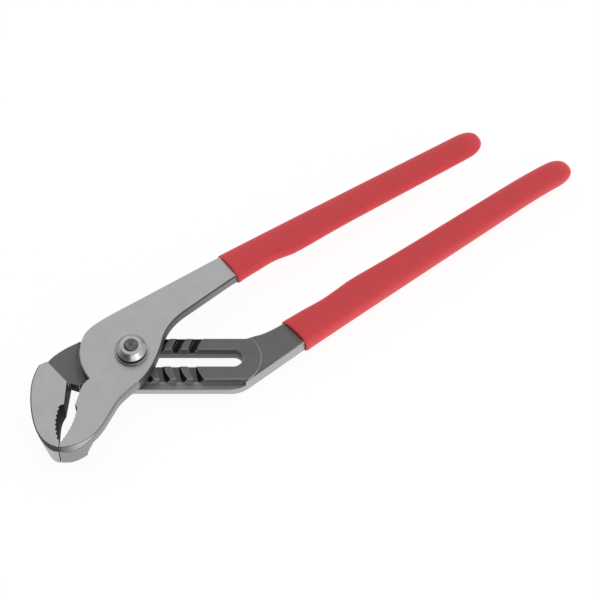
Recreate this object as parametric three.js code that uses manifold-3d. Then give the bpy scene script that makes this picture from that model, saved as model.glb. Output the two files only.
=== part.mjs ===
// Groove-joint water pump pliers, lying on the bolt head, in millimetres with +Z up.
// X runs along the slot towards the handles and Y across it towards the upper handle.
// The origin is on the pivot, on the plane that the bolt head rests on, with the jaws closed.

import * as THREE from 'three';
import { mergeVertices } from 'three/addons/utils/BufferGeometryUtils.js';
import Module from 'manifold-3d';

const wasm = await Module();
wasm.setup();

const radians = THREE.MathUtils.degToRad;
const point = (x, y) => new THREE.Vector2(x, y);
const polar = (radius, degrees) => point(radius, 0).rotateAround(point(0, 0), radians(degrees));

// Slip joint: the bolt slides in the slot and the tongue drops into one groove for each setting
const GAP = 0.3;
const SHANK_DIAMETER = 8.7;
const SETTINGS = 7;
const PITCH = 8.1;
const SLOT_PLAY = 0.4;
const GROOVE_RADIUS = 20;
const GROOVE_WIDTH = 4.3;
const GROOVE_DEPTH = 4;
const GROOVE_SHALLOW = 0.9;
const GROOVE_DRAFT = 1.4;
const GROOVE_RISE_LIMIT = 0.95;
const TONGUE_HEAD_ANGLE = 196;
const TONGUE_FOOT_ANGLE = 214;

// Bolt, nut and washer
const HEAD_DIAMETER = 17;
const HEAD_HEIGHT = 3.2;
const HEAD_CHAMFER = 0.8;
const THREAD_DIAMETER = 6.6;
const THREAD_DOME = 0.5;
const WASHER_DIAMETER = 16.6;
const WASHER_THICKNESS = 0.8;
const NUT_DIAMETER = 15.1;
const NUT_TOP_DIAMETER = 10.6;
const NUT_WALL = 1.5;
const NUT_CONE = 3;

// Thicknesses of the forgings
const LEDGE_THICKNESS = 5;
const HANDLE_THICKNESS = 8.3;
const UPPER_THICKNESS = 6.5;
const JAW_THICKNESS = 14.1;
const EDGE_BEVEL = 0.6;
const BAR_BEVEL = 0.3;

// Slotted bar of the lower lever, measured from the slot's middle line
const ARM_LOW = 11.7;
const ARM_HIGH = 10.7;
const LEDGE_LOW_WIDTH = 3.6;
const LEDGE_HIGH_WIDTH = 1.9;
const LEDGE_END_PLAY = 6.6;
const LEDGE_START_ANGLE = 211.5;
const PLATEAU_END_RADIUS = 14.2;
const BAR_HEEL_RADIUS = 24;
const ELBOW_SETBACK = 0.5;
const ELBOW_SHARE = 0.15;
const LEDGE_CORNER = 1;

// Jaws
const BOSS_RADIUS = 25.2;
const RECESS_MARGIN = 2.3;
const RECESS_DEPTH = 0.5;
const RECESS_TOP_ANGLE = 150;
const JAW_REACH = 53.4;
const JAW_MEETING = -32.6;
const JAW_BACK = -47.8;
const JAW_ROOT_RADIUS = 27;
const JAW_ROOT_ANGLE = 248;
const TOOTH_PITCH = 2.3;
const TOOTH_DEPTH = 0.8;
const LOWER_NOSE_RADIUS = 14.4;
const UPPER_NOSE_RADIUS = 24.85;
const NOSE_STEEPNESS = 1.3;

// Handles: an axis at an angle to the slot, set sideways from the pivot, with a dipped grip on it
const LOWER_ANGLE = 36.18;
const LOWER_OFFSET = -34.73;
const LOWER_MOUTH = 72;
const LOWER_END = 244;
const LOWER_GRIP_WIDE = 18.9;
const LOWER_GRIP_NARROW = 13.3;
const LOWER_TAPER_POWER = 0.8;
const LOWER_GRIP_WALL = 1.7;
const LOWER_STOP = 0.7;
const LOWER_STOP_FROM_MOUTH = 41;
const LOWER_DROOP = 1.8;
const LOWER_FLARE = 0;
const UPPER_ANGLE = 31.25;
const UPPER_OFFSET = 17.4;
const UPPER_MOUTH = 64;
const UPPER_END = 212.5;
const UPPER_GRIP_WIDE = 16.2;
const UPPER_GRIP_NARROW = 13.3;
const UPPER_TAPER_POWER = 1.4;
const UPPER_GRIP_WALL = 1.2;
const UPPER_STOP = 1;
const UPPER_STOP_FROM_MOUTH = 34;
const UPPER_DROOP = 0;
const UPPER_FLARE = 1.2;
const FLARE_LENGTH = 6;
const STOP_RISE = 7;
const STOP_FALL = 20;
const WAIST_DEPTH = 0.6;
const WAIST_FROM_MOUTH = 22;
const WAIST_LENGTH = 8;
const DROOP_LENGTH = 34;
const MOUTH_SLANT = 0.13;
const MOUTH_SLANT_LENGTH = 25;
const GRIP_TIP = 11;
const TANG_SHORTFALL = 12;
const GRIP_SQUARENESS = 3;
const TIP_SQUARENESS = 2.5;
const LOWER_THINNING = 2.4;
const UPPER_THINNING = 1.2;

// Fineness of the round forms
const CURVE_STEPS = 14;
const ROUND_STEPS = 48;
const GRIP_SIDES = 28;
const SLICE_FACETS = 4;
const GRIP_STATIONS = 22;
const GRIP_TIP_STATIONS = 6;
const GRIP_TIP_FLAT = 0.5;
const WELD = 1e-4;

// Heights that follow from the thicknesses
const BAR_BACK = HEAD_HEIGHT + GAP;
const LEDGE = BAR_BACK + LEDGE_THICKNESS;
const PLATEAU = LEDGE + GROOVE_DEPTH;
const HANDLE_FACE = BAR_BACK + HANDLE_THICKNESS;
const UPPER_BACK = PLATEAU + GAP;
const FRONT = UPPER_BACK + UPPER_THICKNESS;
const JAW_REAR = FRONT - JAW_THICKNESS;
const WASHER_BACK = FRONT + GAP;
const WASHER_FRONT = WASHER_BACK + WASHER_THICKNESS;
const NUT_BACK = WASHER_FRONT + GAP;
const NUT_RIM = NUT_BACK + NUT_WALL;
const NUT_FRONT = NUT_RIM + NUT_CONE;

// Sizes in the plan that follow
const SLIDE_TRAVEL = (SETTINGS - 1) * PITCH;
const SLOT_HALF = SHANK_DIAMETER / 2 + GAP;
const BAR_LOW = ARM_LOW + LEDGE_LOW_WIDTH;
const BAR_HIGH = ARM_HIGH + LEDGE_HIGH_WIDTH;
const GROOVE_INNER = GROOVE_RADIUS - GROOVE_WIDTH / 2;
const GROOVE_OUTER = GROOVE_RADIUS + GROOVE_WIDTH / 2;
const RECESS_RADIUS = BOSS_RADIUS + RECESS_MARGIN;
const PAST = 3;

// Turn a closed geometry into a solid that can be joined and cut
function solid(geometry) {
  geometry.deleteAttribute('normal');
  geometry.deleteAttribute('uv');
  const merged = mergeVertices(geometry, WELD);
  return new wasm.Manifold(new wasm.Mesh({
    numProp: 3,
    vertProperties: new Float32Array(merged.attributes.position.array),
    triVerts: new Uint32Array(merged.index.array),
  }));
}

// Plate of a given outline between two heights, with both rims bevelled if asked
function plate(outline, low, high, bevel = 0) {
  const geometry = new THREE.ExtrudeGeometry(outline, {
    depth: high - low - 2 * bevel,
    curveSegments: CURVE_STEPS,
    bevelEnabled: bevel > 0,
    bevelThickness: bevel,
    bevelSize: bevel,
    bevelOffset: -bevel,
    bevelSegments: 1,
  });
  geometry.translate(0, 0, low + bevel);
  return solid(geometry);
}

// Solid of revolution about a vertical axis, from a profile of radius and height
function turned(profile) {
  const geometry = new THREE.LatheGeometry(profile, ROUND_STEPS);
  geometry.rotateX(Math.PI / 2);
  return solid(geometry);
}

// Closed skin over rings that each have the same number of points
function loft(rings) {
  const sides = rings[0].length;
  const middle = (ring) => ring.reduce((sum, p) => sum.add(p), new THREE.Vector3()).divideScalar(sides);
  const corners = [...rings.flat(), middle(rings[0]), middle(rings.at(-1))];
  const first = rings.length * sides;
  const faces = [];
  for (let i = 0; i < sides; i++) {
    const j = (i + 1) % sides;
    for (let k = 0; k < rings.length - 1; k++) {
      const a = k * sides;
      const b = a + sides;
      faces.push(a + i, b + j, b + i, a + i, a + j, b + j);
    }
    const last = first - sides;
    faces.push(first, j, i, first + 1, last + i, last + j);
  }
  const geometry = new THREE.BufferGeometry().setFromPoints(corners);
  geometry.setIndex(faces);
  return solid(geometry);
}

// Part of a flat ring about a centre, from one angle to a larger one
function ringSector(centre, inner, outer, from, to) {
  const shape = new THREE.Shape();
  shape.absarc(centre.x, centre.y, outer, radians(from), radians(to), false);
  shape.absarc(centre.x, centre.y, inner, radians(to), radians(from), true);
  return shape.closePath();
}

// Slice of a disc about the pivot between two angles and two heights, with a few flat facets
function slice(reach, from, to, low, high) {
  const corners = Array.from({ length: SLICE_FACETS + 1 }, (_, i) => {
    return polar(reach, THREE.MathUtils.lerp(from, to, i / SLICE_FACETS));
  });
  return plate(polygon(point(0, 0), ...corners), low, high);
}

// Ring about the pivot between two angles, whose wall on the bolt's side leans away from it going down
function leaningRing(inner, outer, low, high, from, to) {
  const lean = (height) => (GROOVE_DRAFT * (PLATEAU - height)) / GROOVE_DEPTH;
  const ring = turned([
    point(inner + lean(low), low), point(outer, low), point(outer, high),
    point(inner + lean(high), high), point(inner + lean(low), low),
  ]);
  return ring.intersect(slice(2 * outer, from, to, low - PAST, high + PAST));
}

const disc = (radius) => new THREE.Shape().absarc(0, 0, radius, 0, 2 * Math.PI, false);
const polygon = (...corners) => new THREE.Shape(corners);

// One handle with the sizes of the grip that is dipped over it
// Inside and facing give the side and the face that are next to the other handle
const lowerHandle = {
  angle: LOWER_ANGLE, offset: LOWER_OFFSET, mouth: LOWER_MOUTH, end: LOWER_END,
  wide: LOWER_GRIP_WIDE, narrow: LOWER_GRIP_NARROW, power: LOWER_TAPER_POWER,
  wall: LOWER_GRIP_WALL, stop: LOWER_STOP, stopAt: LOWER_STOP_FROM_MOUTH,
  droop: LOWER_DROOP, flare: LOWER_FLARE, thinning: LOWER_THINNING,
  inside: 1, facing: 1, rear: BAR_BACK, face: HANDLE_FACE, bevel: BAR_BEVEL,
};
const upperHandle = {
  angle: UPPER_ANGLE, offset: UPPER_OFFSET, mouth: UPPER_MOUTH, end: UPPER_END,
  wide: UPPER_GRIP_WIDE, narrow: UPPER_GRIP_NARROW, power: UPPER_TAPER_POWER,
  wall: UPPER_GRIP_WALL, stop: UPPER_STOP, stopAt: UPPER_STOP_FROM_MOUTH,
  droop: UPPER_DROOP, flare: UPPER_FLARE, thinning: UPPER_THINNING,
  inside: -1, facing: -1, rear: FRONT, face: UPPER_BACK, bevel: EDGE_BEVEL,
};

// Point of the plan at a distance along a handle and across it; the end droops a little
function onHandle(handle, along, across) {
  const past = Math.max(0, (along - handle.end + DROOP_LENGTH) / DROOP_LENGTH);
  const sideways = handle.offset + across - handle.droop * past ** 2;
  return point(along, sideways).rotateAround(point(0, 0), radians(handle.angle));
}

// Share of the way from the grip's mouth to its end
const shareAlong = (handle, along) => Math.max(0, (along - handle.mouth) / (handle.end - handle.mouth));

// Taper of half the grip's width from the mouth to the end
function taper(handle, along) {
  return THREE.MathUtils.lerp(handle.wide, handle.narrow, shareAlong(handle, along) ** handle.power) / 2;
}

// Height of the steel's face next to the other handle, from which the handle gets thinner to its end
function innerFace(handle, along) {
  return handle.face - handle.facing * handle.thinning * shareAlong(handle, along);
}

// Wedge over that face, with a spare above it
function wedge(handle, spare) {
  const far = handle.end + PAST;
  const lift = handle.facing * spare;
  const profile = polygon(
    point(handle.mouth, handle.face + lift), point(far, innerFace(handle, far) + lift),
    point(far, handle.face + lift + handle.facing * PAST),
  );
  const geometry = new THREE.ExtrudeGeometry(profile, { depth: 2 * handle.wide, bevelEnabled: false });
  geometry.rotateX(Math.PI / 2);
  geometry.translate(0, handle.offset + handle.wide, 0);
  geometry.rotateZ(radians(handle.angle));
  return solid(geometry);
}

// Half width of the grip on one side; the inside also has a flared mouth, a waist and a finger stop
function gripHalf(handle, along, side) {
  if (side !== handle.inside) return taper(handle, along);
  const fromMouth = Math.max(0, along - handle.mouth);
  const flare = handle.flare * Math.exp(-fromMouth / FLARE_LENGTH);
  const fromStop = fromMouth - handle.stopAt;
  const spread = fromStop < 0 ? STOP_RISE : STOP_FALL;
  const stop = handle.stop * Math.exp(-((fromStop / spread) ** 2));
  const waist = WAIST_DEPTH * Math.exp(-(((fromMouth - WAIST_FROM_MOUTH) / WAIST_LENGTH) ** 2));
  return taper(handle, along) + flare + stop - waist;
}

// One edge of the steel inside the grip, from just outside the mouth, past the waist, to the tang's end
function tangEdge(handle, side, spare) {
  const stations = [handle.mouth - PAST, handle.mouth + WAIST_FROM_MOUTH];
  stations.push(handle.end - TANG_SHORTFALL + spare);
  return stations.map((along) => {
    const half = gripHalf(handle, along, side) - handle.wall - GAP + spare;
    return onHandle(handle, along, side * half);
  });
}

// Push a sine or cosine outwards so that an oval becomes square-shouldered
const squared = (wave, power) => Math.sign(wave) * Math.abs(wave) ** (2 / power);

// Soft sleeve with a square-shouldered oval section, a round tip and a pocket for the tang
function grip(handle) {
  const cover = handle.facing * (GAP + handle.wall);
  const tipStart = handle.end - GRIP_TIP;
  const straight = Array.from({ length: GRIP_STATIONS }, (_, i) => ({
    along: THREE.MathUtils.lerp(handle.mouth, tipStart, i / GRIP_STATIONS), swell: 1,
  }));
  const tip = Array.from({ length: GRIP_TIP_STATIONS }, (_, i) => {
    const turn = (Math.PI / 2) * (i / (GRIP_TIP_STATIONS - GRIP_TIP_FLAT));
    const reach = GRIP_TIP * squared(Math.sin(turn), TIP_SQUARENESS);
    return { along: tipStart + reach, swell: squared(Math.cos(turn), TIP_SQUARENESS) };
  });
  const rings = [...straight, ...tip].map(({ along, swell }) => {
    const slant = MOUTH_SLANT * Math.max(0, 1 - (along - handle.mouth) / MOUTH_SLANT_LENGTH);
    const outer = handle.rear - cover;
    const inner = innerFace(handle, along) + cover;
    const middle = (outer + inner) / 2;
    const halfHeight = Math.abs(inner - outer) / 2;
    return Array.from({ length: GRIP_SIDES }, (_, i) => {
      const turn = (2 * Math.PI * i) / GRIP_SIDES;
      const across = squared(Math.cos(turn), GRIP_SQUARENESS);
      const up = squared(Math.sin(turn), GRIP_SQUARENESS);
      const side = across >= 0 ? 1 : -1;
      const sideways = across * gripHalf(handle, along, side) * swell;
      const place = onHandle(handle, along - slant * sideways, sideways);
      return new THREE.Vector3(place.x, place.y, middle + up * halfHeight * swell);
    });
  });
  const pocket = polygon(...tangEdge(handle, 1, GAP), ...tangEdge(handle, -1, GAP).reverse());
  const floor = Math.min(handle.rear, handle.face) - GAP;
  const roof = Math.max(handle.rear, handle.face) + GAP;
  return loft(rings).subtract(plate(pocket, floor, roof, handle.bevel).subtract(wedge(handle, GAP)));
}

// Points along a curve with a notch cut to one side between each pair of teeth
function toothed(curve, side) {
  const teeth = Math.round(curve.getLength() / TOOTH_PITCH);
  const corners = [];
  for (let i = 0; i < 2 * teeth + 1; i++) {
    const share = i / (2 * teeth);
    const along = curve.getTangentAt(share);
    const across = point(-along.y, along.x).multiplyScalar(i % 2 === 0 ? 0 : side * TOOTH_DEPTH);
    corners.push(curve.getPointAt(share).add(across));
  }
  return corners;
}

// Places on the lower jaw
const LOWER_WEB_START = point(-19, BAR_HIGH);
const LOWER_WEB_BOW = point(-27, 8.6);
const LOWER_HEEL_BOW = point(-36.5, 3.9);
const LOWER_HEEL = point(-40.7, -1.9);
const LOWER_BACK_BOW = point(JAW_BACK, -10.2);
const LOWER_BACK = point(JAW_BACK, -22);
const LOWER_CHIN_BOW = point(JAW_BACK, -38);
const LOWER_NOSE_BOW = point(-42, -JAW_REACH);
const STEP_FOOT = point(-30.3, -17);
const STEP_TOP = point(-40.6, -5.7);
const STEP_BACK = point(-48.6, -9.7);
const WEB_EDGE = point(-25.5, -BAR_LOW);
const LOWER_FLAT_TOP = point(-30.4, -14);
const LOWER_FLAT_FOOT = point(-31.3, -29);
const LOWER_TEETH_TOP = point(-32.8, -29.4);
const LOWER_TEETH_BOW = point(-36, -39);
const LOWER_TEETH_FOOT = point(JAW_MEETING - GAP / 2, -48);

// Places on the upper lever
const BOSS_TOP_ANGLE = 158;
const BOSS_FOOT_ANGLE = 217;
const BOSS_BOW = point(-20.8, 14.4);
const BACK_BOW = point(-13.5, 18.9);
const BACK_START = point(-8.4, 22.1);
const NECK_START = point(25.6, 22.5);
const NECK_CORNER = point(17.3, 15.9);
const NECK_END = point(15.1, 7.2);
const CHEEK_BOW = point(13.5, -1.1);
const CHEEK_LOW_BOW = point(10.5, -9.8);
const CHEEK = point(5, -16.1);
const JAW_ROOT_BOW = point(1.9, -19.6);
const JAW_ROOT_LOW_BOW = point(-3.9, -24.1);
const JAW_SPINE_TOP = point(-6.4, -29);
const JAW_SPINE_FOOT = point(-11.9, -39.8);
const UPPER_CHIN_BOW = point(-16, -46.5);
const UPPER_NOSE_BOW = point(-23, -JAW_REACH);
const UPPER_NOSE = point(-29.5, -JAW_REACH);
const JAW_STEP_ON_SPINE = point(-20.3, -47.9);
const UPPER_FLAT_TOP = point(-23, -18.8);
const UPPER_FLAT_FOOT = point(-26.1, -29.4);
const UPPER_TEETH_TOP = point(-25.4, -30);
const UPPER_TEETH_BOW = point(-25.8, -40);
const UPPER_TEETH_FOOT = point(JAW_MEETING + GAP / 2, -49);
const JAW_OVERLAP = 4;
const LOWER_NOSE_CENTRE = point(-29.8, -37.8);
const UPPER_NOSE_CENTRE = point(-33.5, -27.1);
const LOWER_NOSE_FROM_ANGLE = 205;
const LOWER_NOSE_TO_ANGLE = 290;
const UPPER_NOSE_FROM_ANGLE = 255;
const UPPER_NOSE_TO_ANGLE = 336;

const curveTo = (shape, bow, lateBow, end) =>
  shape.bezierCurveTo(bow.x, bow.y, lateBow.x, lateBow.y, end.x, end.y);
const bendTo = (shape, bow, end) => shape.quadraticCurveTo(bow.x, bow.y, end.x, end.y);
const lineTo = (shape, end) => shape.lineTo(end.x, end.y);

// Slanted rounding of a jaw tip: all that lies outside a cone which widens downwards, between two angles
function noseCutter(centre, radius, from, to) {
  const reach = 2 * JAW_REACH;
  const outside = turned([
    point(radius - PAST, FRONT + PAST * NOSE_STEEPNESS),
    point(radius + reach, FRONT - reach * NOSE_STEEPNESS),
    point(radius + reach, FRONT + PAST * NOSE_STEEPNESS),
    point(radius - PAST, FRONT + PAST * NOSE_STEEPNESS),
  ]);
  const sector = slice(reach, from, to, JAW_REAR, FRONT + PAST);
  return outside.intersect(sector).translate([centre.x, centre.y, 0]);
}

// Ramp under the grooves of the near arm, which get deeper from the slot to the ledge
function grooveRamp(lift) {
  const slope = (GROOVE_DEPTH - GROOVE_SHALLOW) / (ARM_LOW - SLOT_HALF);
  const profile = polygon(
    point(-ARM_LOW - PAST, LEDGE + lift - PAST), point(-ARM_LOW, LEDGE + lift),
    point(0, LEDGE + lift + ARM_LOW * slope), point(0, LEDGE + lift - PAST),
  );
  const length = SLIDE_TRAVEL + 4 * GROOVE_OUTER;
  const geometry = new THREE.ExtrudeGeometry(profile, { depth: length, bevelEnabled: false });
  geometry.rotateX(Math.PI / 2);
  geometry.rotateZ(Math.PI / 2);
  geometry.translate(-2 * GROOVE_OUTER, 0, 0);
  return solid(geometry);
}

// Lower lever: jaw, recess under the upper lever, slotted bar with its grooves, and handle
function lowerLever() {
  const bar = new THREE.Shape();
  const heelLow = point(-Math.sqrt(BAR_HEEL_RADIUS ** 2 - BAR_LOW ** 2), -BAR_LOW);
  const heelHigh = point(-Math.sqrt(BAR_HEEL_RADIUS ** 2 - BAR_HIGH ** 2), BAR_HIGH);
  const tangLow = tangEdge(lowerHandle, -1, 0);
  const tangHigh = tangEdge(lowerHandle, 1, 0);
  const slotEnd = point(SLIDE_TRAVEL, 0);
  const elbow = point(slotEnd.x + SLOT_HALF - ELBOW_SETBACK, -BAR_LOW);
  const shoulder = point(slotEnd.x + 2 * SLOT_HALF, BAR_HIGH);
  const armpit = point(shoulder.x + SLOT_HALF, BAR_HIGH);
  bar.moveTo(heelLow.x, heelLow.y);
  lineTo(bar, point(elbow.x - SLOT_HALF, elbow.y));
  bendTo(bar, elbow, elbow.clone().lerp(tangLow[0], ELBOW_SHARE));
  tangLow.forEach((corner) => lineTo(bar, corner));
  tangHigh.reverse().forEach((corner) => lineTo(bar, corner));
  bendTo(bar, armpit, shoulder);
  lineTo(bar, heelHigh);
  bar.absarc(0, 0, BAR_HEEL_RADIUS, heelHigh.angle(), heelLow.angle(), false);

  const plateau = new THREE.Shape();
  const endLow = -Math.asin(ARM_LOW / PLATEAU_END_RADIUS);
  const endHigh = Math.asin(ARM_HIGH / PLATEAU_END_RADIUS);
  plateau.moveTo(-BAR_HEEL_RADIUS, ARM_HIGH);
  lineTo(plateau, point(-BAR_HEEL_RADIUS, -ARM_LOW));
  plateau.absarc(slotEnd.x, slotEnd.y, PLATEAU_END_RADIUS, endLow, endHigh, false);
  plateau.closePath();

  const jaw = new THREE.Shape();
  jaw.moveTo(-GROOVE_INNER, BAR_HIGH);
  lineTo(jaw, LOWER_WEB_START);
  curveTo(jaw, LOWER_WEB_BOW, LOWER_HEEL_BOW, LOWER_HEEL);
  bendTo(jaw, LOWER_BACK_BOW, LOWER_BACK);
  curveTo(jaw, LOWER_CHIN_BOW, LOWER_NOSE_BOW, point(JAW_MEETING, -JAW_REACH));
  lineTo(jaw, point(JAW_MEETING + JAW_OVERLAP, -JAW_REACH));
  lineTo(jaw, point(JAW_MEETING + JAW_OVERLAP, -BAR_LOW - PAST));
  lineTo(jaw, point(-GROOVE_INNER, -BAR_LOW));
  jaw.closePath();

  const recess = polygon(
    STEP_FOOT, STEP_TOP, STEP_BACK, point(JAW_BACK - PAST, BAR_HIGH + PAST),
    point(0, BAR_HIGH + PAST), point(0, -BAR_LOW - PAST), point(STEP_FOOT.x, -BAR_LOW - PAST),
  );

  const teeth = new THREE.QuadraticBezierCurve(LOWER_TEETH_TOP, LOWER_TEETH_BOW, LOWER_TEETH_FOOT);
  const mouth = polygon(
    LOWER_FLAT_TOP, LOWER_FLAT_FOOT, ...toothed(teeth, -1),
    point(LOWER_TEETH_FOOT.x, -JAW_REACH - PAST), point(0, -JAW_REACH - PAST), point(0, -BAR_LOW),
    WEB_EDGE,
  );

  const ledgeEnd = slotEnd.x + LEDGE_END_PLAY;
  const slope = Math.tan(radians(LEDGE_START_ANGLE));
  const lowLedge = polygon(
    point(-ARM_LOW / slope, -ARM_LOW), point(-(BAR_LOW + PAST) / slope, -BAR_LOW - PAST),
    point(ledgeEnd, -BAR_LOW - PAST), point(ledgeEnd, -ARM_LOW - LEDGE_CORNER),
    point(ledgeEnd - LEDGE_CORNER, -ARM_LOW),
  );
  const highLedge = polygon(
    point(-GROOVE_INNER, ARM_HIGH), point(ledgeEnd - LEDGE_CORNER, ARM_HIGH),
    point(armpit.x, BAR_HIGH + LEDGE_CORNER), point(armpit.x, BAR_HIGH + PAST),
    point(-GROOVE_INNER, BAR_HIGH + PAST),
  );

  const slot = new THREE.Shape();
  slot.absarc(slotEnd.x + SLOT_PLAY, 0, SLOT_HALF, -Math.PI / 2, Math.PI / 2, false);
  slot.absarc(-SLOT_PLAY, 0, SLOT_HALF, Math.PI / 2, 1.5 * Math.PI, false);
  slot.closePath();

  let lowered = plate(lowLedge, LEDGE, FRONT + PAST).add(plate(highLedge, LEDGE, FRONT + PAST));
  const rise = (Math.max(ARM_LOW, ARM_HIGH) + LEDGE_CORNER) / GROOVE_INNER;
  const span = THREE.MathUtils.radToDeg(Math.asin(Math.min(GROOVE_RISE_LIMIT, rise)));
  for (let setting = 0; setting < SETTINGS; setting++) {
    const groove = leaningRing(GROOVE_INNER, GROOVE_OUTER, LEDGE, PLATEAU + PAST, 180 - span, 180 + span);
    lowered = lowered.add(groove.translate([setting * PITCH, 0, 0]).subtract(grooveRamp(0)));
  }

  const nose = noseCutter(LOWER_NOSE_CENTRE, LOWER_NOSE_RADIUS, LOWER_NOSE_FROM_ANGLE, LOWER_NOSE_TO_ANGLE);
  return plate(jaw, JAW_REAR, FRONT, EDGE_BEVEL)
    .subtract(plate(recess, PLATEAU, FRONT + PAST))
    .subtract(plate(mouth, 0, FRONT + PAST))
    .subtract(nose)
    .add(plate(bar, BAR_BACK, HANDLE_FACE, BAR_BEVEL))
    .add(plate(plateau, LEDGE - BAR_BEVEL, PLATEAU))
    .subtract(plate(
      ringSector(point(0, 0), GROOVE_RADIUS, RECESS_RADIUS, RECESS_TOP_ANGLE, LEDGE_START_ANGLE + PAST),
      PLATEAU - RECESS_DEPTH, FRONT + PAST,
    ))
    .subtract(plate(slot, 0, FRONT + PAST))
    .subtract(lowered)
    .subtract(wedge(lowerHandle, 0));
}

// Upper lever: flat plate from jaw to handle, thick jaw below it, and the tongue
function upperLever() {
  const whole = new THREE.Shape();
  whole.absarc(0, 0, BOSS_RADIUS, radians(BOSS_FOOT_ANGLE), radians(BOSS_TOP_ANGLE), true);
  curveTo(whole, BOSS_BOW, BACK_BOW, BACK_START);
  tangEdge(upperHandle, 1, 0).forEach((corner) => lineTo(whole, corner));
  tangEdge(upperHandle, -1, 0).reverse().forEach((corner) => lineTo(whole, corner));
  lineTo(whole, NECK_START);
  bendTo(whole, NECK_CORNER, NECK_END);
  curveTo(whole, CHEEK_BOW, CHEEK_LOW_BOW, CHEEK);
  curveTo(whole, JAW_ROOT_BOW, JAW_ROOT_LOW_BOW, JAW_SPINE_TOP);
  lineTo(whole, JAW_SPINE_FOOT);
  curveTo(whole, UPPER_CHIN_BOW, UPPER_NOSE_BOW, UPPER_NOSE);
  lineTo(whole, point(JAW_MEETING - JAW_OVERLAP, -JAW_REACH));
  lineTo(whole, point(JAW_MEETING - JAW_OVERLAP, UPPER_FLAT_FOOT.y));
  lineTo(whole, point(UPPER_FLAT_FOOT.x, -BAR_LOW - PAST / 2));
  whole.closePath();

  const rootStart = 180 + THREE.MathUtils.radToDeg(Math.asin((BAR_LOW + 2 * GAP) / JAW_ROOT_RADIUS));
  const jaw = new THREE.Shape();
  jaw.absarc(0, 0, JAW_ROOT_RADIUS, radians(rootStart), radians(JAW_ROOT_ANGLE), false);
  lineTo(jaw, JAW_STEP_ON_SPINE);
  lineTo(jaw, point(JAW_STEP_ON_SPINE.x + PAST, -JAW_REACH - PAST));
  lineTo(jaw, point(JAW_BACK, -JAW_REACH - PAST));
  lineTo(jaw, point(JAW_BACK, -BAR_LOW - 2 * GAP));
  jaw.closePath();

  const teeth = new THREE.QuadraticBezierCurve(UPPER_TEETH_TOP, UPPER_TEETH_BOW, UPPER_TEETH_FOOT);
  const foot = polar(BOSS_RADIUS, BOSS_FOOT_ANGLE);
  const mouth = polygon(
    foot, UPPER_FLAT_TOP, UPPER_FLAT_FOOT, ...toothed(teeth, 1),
    point(UPPER_TEETH_FOOT.x, -JAW_REACH - PAST), point(JAW_BACK, -JAW_REACH - PAST),
    point(JAW_BACK, foot.y),
  );

  const tongue = leaningRing(
    GROOVE_INNER + GAP, GROOVE_OUTER - GAP, LEDGE + GAP, UPPER_BACK + EDGE_BEVEL,
    TONGUE_HEAD_ANGLE, TONGUE_FOOT_ANGLE,
  );
  const thick = plate(whole, JAW_REAR, UPPER_BACK + UPPER_THICKNESS / 2, EDGE_BEVEL)
    .intersect(plate(jaw, 0, FRONT));
  const nose = noseCutter(UPPER_NOSE_CENTRE, UPPER_NOSE_RADIUS, UPPER_NOSE_FROM_ANGLE, UPPER_NOSE_TO_ANGLE);
  return plate(whole, UPPER_BACK, FRONT, EDGE_BEVEL)
    .add(thick)
    .subtract(plate(mouth, 0, FRONT + PAST))
    .subtract(nose)
    .add(tongue.subtract(grooveRamp(GAP)))
    .subtract(plate(disc(SLOT_HALF), 0, FRONT + PAST))
    .subtract(wedge(upperHandle, 0));
}

// Bolt: flat round head, shank with a shoulder for the nut, and a peened end
function pivotBolt() {
  const head = HEAD_DIAMETER / 2;
  const shank = SHANK_DIAMETER / 2;
  const thread = THREAD_DIAMETER / 2;
  return turned([
    point(0, 0), point(head - HEAD_CHAMFER, 0), point(head, HEAD_CHAMFER), point(head, HEAD_HEIGHT),
    point(shank, HEAD_HEIGHT), point(shank, WASHER_FRONT), point(thread, WASHER_FRONT),
    point(thread, NUT_FRONT), point(thread - THREAD_DOME, NUT_FRONT + THREAD_DOME),
    point(0, NUT_FRONT + THREAD_DOME),
  ]);
}

// Nut: round, with a low wall and a cone up to a flat ring
function pivotNut() {
  const bore = THREAD_DIAMETER / 2 + GAP;
  return turned([
    point(bore, NUT_BACK), point(NUT_DIAMETER / 2, NUT_BACK), point(NUT_DIAMETER / 2, NUT_RIM),
    point(NUT_TOP_DIAMETER / 2, NUT_FRONT), point(bore, NUT_FRONT), point(bore, NUT_BACK),
  ]);
}

function pivotWasher() {
  return turned([
    point(SLOT_HALF, WASHER_BACK), point(WASHER_DIAMETER / 2, WASHER_BACK),
    point(WASHER_DIAMETER / 2, WASHER_FRONT), point(SLOT_HALF, WASHER_FRONT),
    point(SLOT_HALF, WASHER_BACK),
  ]);
}

// Named mesh of a finished solid
function piece(name, body, color, roughness, metalness) {
  const { vertProperties, triVerts } = body.getMesh();
  const geometry = new THREE.BufferGeometry();
  geometry.setAttribute('position', new THREE.BufferAttribute(vertProperties, 3));
  geometry.setIndex(new THREE.BufferAttribute(triVerts, 1));
  const mesh = new THREE.Mesh(geometry, new THREE.MeshStandardMaterial({ color, roughness, metalness }));
  mesh.name = name;
  return mesh;
}

const pliers = new THREE.Group();
pliers.add(
  piece('lower_lever', lowerLever(), '#676565', 0.55, 0.9),
  piece('lower_grip', grip(lowerHandle), '#be454b', 0.5, 0),
  piece('upper_lever', upperLever(), '#a9a9ac', 0.35, 1),
  piece('upper_grip', grip(upperHandle), '#be454b', 0.5, 0),
  piece('pivot_bolt', pivotBolt(), '#4a4848', 0.5, 0.9),
  piece('pivot_washer', pivotWasher(), '#a9a9ac', 0.35, 1),
  piece('pivot_nut', pivotNut(), '#a5a5a8', 0.3, 1),
);

export default pliers;
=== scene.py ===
# Looks of a pair of water pump pliers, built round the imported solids.
# Lengths are metres in the pliers' own frame: X along the slot, Y across it and Z up from the bolt head.
import math

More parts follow.
